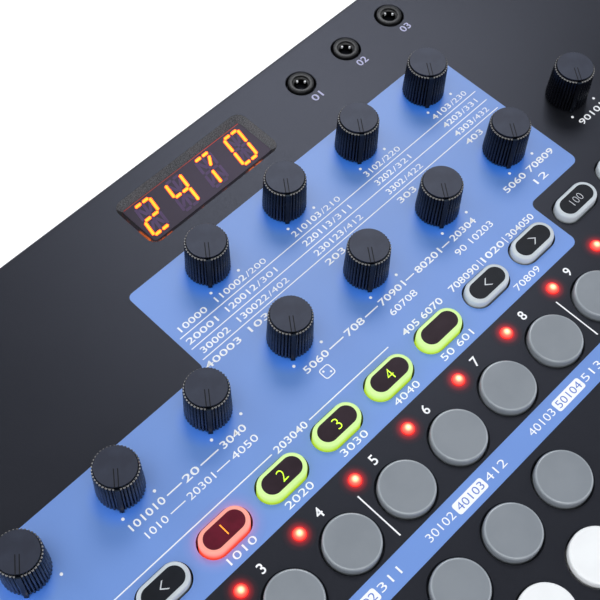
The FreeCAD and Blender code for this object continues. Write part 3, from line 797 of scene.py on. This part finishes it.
# Knobs: ribbed skirt, flat cap with a pair of dark lines painted as the shade of grooves, and a pointer that
# ends in a foot
knob_low = panel_top + 0.2
knob_high = knob_low + 11.18
ribs = 40
rib_points = 8
knob_turn = math.radians(270.0 - 38.0)
shoulder = knob_high - 0.5
disc_radius = 4.64
groove_y = 0.42


def ribbed(radius, depth, z):
    """Outline of rounded ribs with narrow valleys between them."""
    count = ribs * rib_points
    points = []
    for i in range(count):
        phase = (i % rib_points) / rib_points
        swell = abs(math.sin(math.pi * phase)) ** 0.7
        r = radius - depth * (1 - swell)
        angle = 2 * math.pi * (i - rib_points / 2) / count
        points.append((r * math.cos(angle), r * math.sin(angle), z))
    return points


def build_knob_mesh():
    """Four finishes: 0 skirt, 1 cap, 2 the grooves' painted shade, 3 the sloped ends of the ribs, glossier
    and painted a lighter grey as glints.
    """
    bm = bmesh.new()
    top = knob_high
    loops = [ribbed(5.26, 0.36, knob_low), ribbed(5.40, 0.42, knob_low + 0.25),
             ribbed(5.13, 0.42, shoulder - 0.36), ribbed(5.10, 0.42, shoulder - 0.24),
             ribbed(4.80, 0.16, shoulder - 0.04)]
    loops += [circle(0, 0, r, z, ribs * rib_points, -math.pi / ribs) for r, z in
              ((4.50, shoulder - 0.4), (4.50, shoulder + 0.06), (disc_radius, shoulder + 0.12),
               (disc_radius, top - 0.07), (disc_radius - 0.08, top), (disc_radius - 0.3, top))]
    rows = skin(bm, loops)
    row_of = {vert: row for row, loop in enumerate(rows) for vert in loop}
    finish_above = {3: 3, 9: 1, 10: 1}
    for face in bm.faces:
        face.material_index = finish_above.get(min(row_of[v] for v in face.verts), 0)
    half = 0.52
    side = [(3.6, knob_low + 0.1), (5.92, knob_low + 0.1), (5.80, knob_low + 0.7), (5.26, shoulder - 0.25),
            (5.08, shoulder), (3.6, shoulder)]
    skin(bm, [[(x, y * half, z) for x, z in side] for y in (-1, 1)])
    # Dark strips level with the cap, painted as the shade of the grooves
    for y in (-groove_y, groove_y):
        block(bm, 0.5, disc_radius - 0.03, y - 0.10, y + 0.10, top - 0.1, top + 0.012, 2, 0.01)
    skin(bm, [circle(0, 0, 3.0, z, 24) for z in (30.5, knob_low + 0.5)])
    bmesh.ops.rotate(bm, verts=bm.verts, matrix=Matrix.Rotation(knob_turn, 3, "Z"))
    return to_mesh(bm, "knob")


def build_knobs():
    base = build_knob_mesh()
    materials = [knob_black, knob_cap, knob_groove_painted_shade, knob_rim_painted_glint]
    for prefix, places in (("rear_knob_", rear_knobs), ("front_knob_", front_knobs)):
        for index, (x, y) in enumerate(places):
            node = "%s%02d" % (prefix, index + 1)
            piece(node + "_body", base.copy(), materials, node, (x, y, 0), 30, [node])
    bpy.data.meshes.remove(base)


build_knobs()


# Buttons and keys

def round_cap(bm, x, y):
    """One cap; the upper third of its rounded edge is glossier and a lighter grey, a painted highlight along
    the rim.
    """
    profile = [(cap_radius, flange_low), (cap_radius, panel_top)]
    profile += rim(cap_radius - 0.04, panel_top + cap_rise, 0.5, 6)
    rows = lathe(bm, x, y, profile)
    edge = set(rows[6] + rows[7] + rows[8])
    for vert in rows[7]:
        for face in vert.link_faces:
            if edge.issuperset(face.verts):
                face.material_index = 1


def flange(bm, places, half_x, half_y):
    """The plate under a strip of caps."""
    xs = [x for x, _ in places]
    y = places[0][1]
    block(bm, min(xs) - half_x, max(xs) + half_x, y - half_y, y + half_y, flange_low, flange_high)


def round_strip(node, ending, places, finish, edge):
    bm = bmesh.new()
    flange(bm, places, cap_radius + 0.6, cap_radius + 0.6)
    for x, y in places:
        round_cap(bm, x, y)
    placed(node + ending, bm, [finish, edge], node, nodes=[node])


def build_caps():
    for index, place in enumerate(step_caps):
        round_strip("step_button_%02d" % (index + 1), "_cap", [place], cap_grey, cap_rim_highlight)
    split = len([n for n in sharps if n < 8])
    round_strip("black_keys_left", "_caps", black_caps[:split], cap_grey, cap_rim_highlight)
    round_strip("black_keys_right", "_caps", black_caps[split:], cap_grey, cap_rim_highlight)
    round_strip("white_keys_left", "_caps", white_caps[:8], cap_white, cap_white)
    round_strip("white_keys_right", "_caps", white_caps[8:], cap_white, cap_white)


build_caps()

# Pill buttons, counted from 0: which are lit and how, and what is on them. The rest have arrows that point
# left and right by turns, apart from one that is bare.
pill_shades = {2: pill_red, 3: pill_green, 4: pill_green, 5: pill_green, 6: pill_green}
pill_insets = {pill_green: pill_black, pill_red: pill_ruby}
pill_marks = {2: ("1", 2.75, mark_orange), 3: ("2", 2.75, mark_green), 4: ("3", 2.75, mark_green),
              5: ("4", 2.75, mark_green), 9: ("100", 2.0, mark_grey)}
bare_pill = 6
arrow = ((-0.78, 1.15), (0.60, 0.0), (-0.78, -1.15), (-0.40, -1.15), (0.98, 0.0), (-0.40, 1.15))
pill_rim = 0.6
inset_height = 0.04


def build_pill_strip(node, members):
    length, width = pill_size
    top = panel_top + pill_rise
    bm = bmesh.new()
    shades = [pill_pale, pill_green, pill_red]
    flange(bm, [(columns[n], pill_y) for n in members], length / 2 + 0.6, width / 2 + 0.6)
    faces, glyphs = {pill_black: [], pill_slate: [], pill_ruby: []}, []
    for n in members:
        x = columns[n]
        shade = pill_shades.get(n, pill_pale)
        outline = [(0.0, flange_low), (0.0, panel_top)]
        outline += [(0.05 + pill_rim - r, z) for r, z in rim(pill_rim, top, pill_rim, 5)]
        skin(bm, [pill(x, pill_y, length - 2 * d, width - 2 * d, z) for d, z in outline], shades.index(shade))
        faces[pill_insets.get(shade, pill_slate)].append(
            sheet_mesh([pill(x, pill_y, *inset_size)], top, inset_height))
        if n in pill_marks:
            text, height, finish = pill_marks[n]
            mesh = text_mesh(text, x, pill_y, height, top + inset_height, ink, bold=-0.018)
            placed("pill_mark_%02d" % (n + 1), welded([mesh]), [finish], node)
        elif n != bare_pill:
            side = -1 if n % 2 else 1
            tips = [(x + side * dx, pill_y + dy, 0) for dx, dy in arrow]
            glyphs.append(sheet_mesh([tips], top + inset_height, ink))
    placed(node + "_caps", bm, shades, node, nodes=[node])
    for inset, meshes in faces.items():
        if meshes:
            placed("%s_%s" % (node, inset.name), welded(meshes), [inset], node)
    if glyphs:
        placed(node + "_arrows", welded(glyphs), [mark_grey], node)


def build_pills():
    for strip in range(4):
        build_pill_strip("pill_strip_%d" % (strip + 1), range(4 * strip, 4 * strip + 4))


def build_pill_halo():
    """The light that the red pill throws on the print round it."""
    outlines = [pill(0, 0, pill_size[0] + 2 * margin, pill_size[1] + 2 * margin)
                for margin in (pill_halo_reach, print_gap)]
    mesh = sheet_mesh(outlines, panel_top + ink, 0.01)
    placed("pill_red_halo", welded([mesh]), [pill_halo], "case", (columns[2], pill_y, 0))


build_pills()
build_pill_halo()


# Lights, sockets and the rest

def build_leds():
    """Each light with the glow round it, a very thin ring on the panel."""
    angles = [math.pi / 2 * i / 8 for i in range(8)]
    dome = [(led_radius * math.cos(t), panel_top + 0.9 * math.sin(t)) for t in angles]
    inner = led_radius + 0.02
    ring = [(inner, panel_top + 0.005), (led_halo_radius, panel_top + 0.005),
            (led_halo_radius, panel_top + 0.015), (inner, panel_top + 0.015)]
    for index, x in enumerate(columns):
        place = (x + led_offset, led_y, 0)
        name = "step_light_%02d" % (index + 1)
        bm = bmesh.new()
        lathe(bm, 0, 0, [(led_radius, 23.0)] + dome + [(0.1, panel_top + 0.898)], 0, 24)
        placed(name, bm, [led_red], "case", place, nodes=[] if index else ["step_leds"])
        bm = bmesh.new()
        tube(bm, 0, 0, ring)
        placed(name + "_halo", bm, [led_halo], "case", place)


build_leds()


def build_jacks():
    """Sockets with a shiny nut, a bore whose near-black lining and floor are painted shade, and two contacts
    in it painted near-white as glints.
    """
    bm = bmesh.new()
    high = panel_top + 0.4
    for x in jack_xs:
        block(bm, x - 4.5, x + 4.5, jack_y - 4.5, jack_y + 4.5, 23.0, 34.2)
        tube(bm, x, jack_y, [(3.4, 33.2), (3.4, high - 0.2), (3.32, high - 0.06), (3.2, high), (2.42, high),
                             (2.3, high - 0.1), (2.2, high - 0.5), (2.0, high - 0.62), (1.8, high - 0.8),
                             (1.8, 34.0)])
        lathe(bm, x, jack_y, [(1.8, 34.15), (1.8, 34.25)], 1, 32)
        tube(bm, x, jack_y, [(1.81, 34.3), (1.81, high - 0.85), (1.75, high - 0.85), (1.75, 34.3)], 1)
        for angle in (2, 82):
            turn = math.radians(angle)
            cx, cy = x + 1.6 * math.cos(turn), jack_y + 1.6 * math.sin(turn)
            block(bm, cx - 0.25, cx + 0.25, cy - 0.25, cy + 0.25, high - 1.6, high - 0.82, 2, 0.1)
    placed("jack_sockets", bm, [jack_black, bore_black_and_painted_shade, jack_contact_glint], "case", nodes=["audio_jacks"])


def build_inlet():
    bm = bmesh.new()
    x, high = inlet_x, panel_top + 0.4
    block(bm, x - 5.5, x + 5.5, jack_y - 5.5, jack_y + 5.5, 23.0, 34.2)
    tube(bm, x, jack_y, [(4.6, 33.2), (4.6, high - 0.2), (4.4, high), (3.1, high), (2.85, high - 0.3),
                         (2.85, 34.0)])
    # The near-black floor of the bore is painted shade
    lathe(bm, x, jack_y, [(2.85, 34.15), (2.85, 34.25)], 1, 32)
    lathe(bm, x, jack_y, [(1.0, 34.2), (1.0, high - 1.3), (0.7, high - 1.0)], 2, 24)
    placed("power_socket", bm, [jack_black, bore_black_and_painted_shade, jack_metal], "case", nodes=["power_inlet"])


def build_slider():
    bm = bmesh.new()
    x = switch_x - 2.0
    low, high = 30.3, panel_top + 1.6
    block(bm, x - 2.8, x + 2.8, jack_y - 2.2, jack_y + 2.2, low, low + 1.6)
    block(bm, x - 2.0, x + 2.0, jack_y - 1.4, jack_y + 1.4, low + 1.0, high - 0.3, 0, 0.12)
    for i in range(4):
        rib = x - 1.5 + i
        block(bm, rib - 0.22, rib + 0.22, jack_y - 1.35, jack_y + 1.35, high - 0.5, high, 0, 0.08)
    placed("power_slider_nub", bm, [slider_grey], "power_slider", nodes=["power_slider"])


def build_speaker():
    bm = bmesh.new()
    top = panel_under
    tube(bm, speaker_x, speaker_y, [(14.0, top), (14.0, top - 1.2), (12.8, top - 1.4), (7.5, top - 4.0),
                                    (7.5, top - 8.0), (0.5, top - 8.0), (0.5, top - 3.4), (3.75, top - 3.0),
                                    (5.0, top - 2.9), (12.3, top - 0.4), (12.8, top)])
    angles = [math.pi / 2 * i / 6 for i in range(6)]
    dome = [(3.6 * math.cos(t), top - 2.9 + 1.2 * math.sin(t)) for t in angles]
    lathe(bm, speaker_x, speaker_y, [(3.9, top - 3.1)] + dome + [(0.2, top - 1.7)])
    placed("speaker_cone", bm, [speaker_black], "case", nodes=["speaker"])


def build_feet():
    bm = bmesh.new()
    for sx in (-1, 1):
        for sy in (-1, 1):
            lathe(bm, sx * (half_width - 16.0), sy * (half_depth - 16.0),
                  [(4.4, 0.0), (4.75, 0.12), (4.95, 0.4), (5.0, 0.9), (5.0, 2.0)])
    placed("feet", bm, [foot_rubber], "case", nodes=["rubber_feet"])


def cross(x, y, reach, half, z):
    """Outline of a plus sign."""
    a, b = reach, half
    corners = ((a, -b), (a, b), (b, b), (b, a), (-b, a), (-b, b), (-a, b), (-a, -b), (-b, -b), (-b, -a),
               (b, -a), (b, -b))
    return [(x + dx, y + dy, z) for dx, dy in corners]


def build_screws():
    """Pan heads with a cross recess, sunk in the underside."""
    outer_x = 4.5 * knob_pitch
    behind_pills = (front_knob_y + pill_y) / 2
    before_keys = white_key_y - cap_radius - 6.8
    places = [(-outer_x, behind_pills), (outer_x, behind_pills), (-outer_x, before_keys), (0.0, before_keys),
              (outer_x, before_keys), (61.0, rear_knob_y + 6.8)]
    screws, recesses = bmesh.new(), bmesh.new()
    for x, y in places:
        lathe(screws, x, y, [(2.1, 2.25), (2.5, 2.36), (2.68, 2.62), (2.7, 2.9), (2.7, 4.25), (1.5, 4.3),
                             (1.5, 29.0)], 0, 32)
        skin(recesses, [cross(x, y, 1.5, 0.32, 1.9), cross(x, y, 1.2, 0.26, 3.4)])
    piece("screws", cut(screws, recesses), [screw_steel], "case", nodes=["case_screws"])


build_jacks()
build_inlet()
build_slider()
build_speaker()
build_feet()
build_screws()


# Stage: a white floor that keeps the object's shadow and turns plain white farther off, and a white world
# where the camera sees it

def seen_rays(tree, mirror_share):
    """1 for rays from the camera, and the share for those from a mirror or glass."""
    path = add(tree, "LightPath", {}).outputs
    through = path["Is Transmission Ray"]
    mirrored = add(tree, "Math", {0: path["Is Glossy Ray"], 1: through}, operation="MAXIMUM")
    shared = add(tree, "Math", {0: mirrored.outputs[0], 1: mirror_share}, operation="MULTIPLY")
    seen = add(tree, "Math", {0: shared.outputs[0], 1: path["Is Camera Ray"]}, operation="MAXIMUM")
    return seen.outputs[0]


def floor_white():
    """A pale floor, a little brighter where it is seen, that fades to plain white far from the object."""
    material = coat("floor_white", (244, 244, 244), (248, 248, 248), 0.6, 0.05, 4, 300, 0.02)
    tree = material.node_tree
    seen = seen_rays(tree, 1.0)
    lift = add(tree, "Emission", {"Strength": 0.3})
    blank = add(tree, "Emission", {"Strength": 0.0})
    choose = add(tree, "MixShader", {"Fac": seen, 1: blank.outputs[0], 2: lift.outputs[0]})
    near = add(tree, "AddShader", {0: tree.nodes["Principled BSDF"].outputs[0], 1: choose.outputs[0]})
    reach = add(tree, "VectorMath", {0: object_place(tree)}, operation="LENGTH").outputs["Value"]
    far = mapped(tree, reach, 0.35, 1.1, kind="SMOOTHSTEP")
    share = add(tree, "Math", {0: far, 1: seen}, operation="MULTIPLY")
    white = add(tree, "Emission", {"Strength": 1.0})
    fade = add(tree, "MixShader", {"Fac": share.outputs[0], 1: near.outputs[0], 2: white.outputs[0]})
    tree.links.new(fade.outputs[0], tree.nodes["Material Output"].inputs["Surface"])
    return material


def build_floor():
    bm = bmesh.new()
    half = 4000
    skin(bm, [[(-half, -half, z), (half, -half, z), (half, half, z), (-half, half, z)] for z in (-20, 0)])
    mesh = to_mesh(bm, "floor")
    mesh.materials.append(floor_white())
    floor = bpy.data.objects.new("floor", mesh)
    SCENE.collection.objects.link(floor)


build_floor()


def build_world():
    """A studio with pale walls and a dim ceiling; what the camera sees of it is white, and so are its walls
    in mirrors and glass."""
    world = bpy.data.worlds.new("studio")
    SCENE.world = world
    world.use_nodes = True
    tree = world.node_tree
    upward = add(tree, "SeparateXYZ", {0: add(tree, "TexCoord", {}).outputs["Generated"]}).outputs["Z"]
    studio = tree.nodes["Background"]
    studio.inputs["Color"].default_value = (0.88, 0.94, 1.06, 1)
    tree.links.new(mapped(tree, upward, 0.2, 0.75, 0.9, 0.10, "SMOOTHSTEP"), studio.inputs["Strength"])
    white = add(tree, "Background", {"Color": (1, 1, 1, 1), "Strength": 1.0})
    seen = seen_rays(tree, mapped(tree, upward, 0.1, 0.5, 1.0, 0.0, "SMOOTHSTEP"))
    mix = add(tree, "MixShader", {"Fac": seen, 1: studio.outputs[0], 2: white.outputs[0]})
    tree.links.new(mix.outputs[0], tree.nodes["World Output"].inputs["Surface"])


build_world()

# Lamps: a softbox behind to the right that the panel mirrors, a strip overhead, a wide weak fill from the
# front left, and one softbox to each side of the camera's view
look_at = Vector((-0.03, 0.02, 0.037))


def area_light(name, direction, distance, width, height, radiance, colour):
    data = bpy.data.lights.new(name, "AREA")
    data.shape = "RECTANGLE"
    data.size = width
    data.size_y = height
    data.energy = radiance * width * height * math.pi
    data.color = colour
    obj = bpy.data.objects.new(name, data)
    way = Vector(direction).normalized()
    obj.location = look_at + way * distance
    obj.rotation_mode = "QUATERNION"
    obj.rotation_quaternion = way.to_track_quat("Z", "Y")
    SCENE.collection.objects.link(obj)


area_light("key_softbox", (0.46, 0.46, 0.76), 0.75, 0.34, 0.28, 5.3, (0.94, 0.96, 1.0))
area_light("strip_softbox", (-0.19, -0.17, 0.967), 1.20, 0.90, 0.14, 6.0, (1.0, 1.0, 1.0))
area_light("fill_softbox", (-0.60, -0.48, 0.64), 1.50, 2.20, 2.00, 0.95, (1.0, 0.99, 0.98))
area_light("left_softbox", (-0.60, 0.62, 0.50), 1.30, 1.40, 1.00, 1.45, (1.0, 1.0, 1.0))
area_light("right_softbox", (0.60, -0.62, 0.50), 1.30, 1.40, 1.00, 1.25, (1.0, 1.0, 1.0))

# Camera
camera_data = bpy.data.cameras.new("camera")
camera_data.lens = 73.39
camera_data.sensor_width = 36.0
camera_data.clip_start = 0.01
camera_data.clip_end = 20.0
camera = bpy.data.objects.new("camera", camera_data)
forward = Vector((0.37998, 0.33923, -0.86056)).normalized()
right = Vector((0.69879, -0.71483, 0.02678)).normalized()
up = right.cross(forward).normalized()
camera.matrix_world = Matrix((
    (right.x, up.x, -forward.x, -0.14993),
    (right.y, up.y, -forward.y, -0.06413),
    (right.z, up.z, -forward.z, 0.28128),
    (0, 0, 0, 1)))
SCENE.collection.objects.link(camera)
SCENE.camera = camera

SCENE.view_settings.view_transform = "Standard"

bpy.context.view_layer.update()
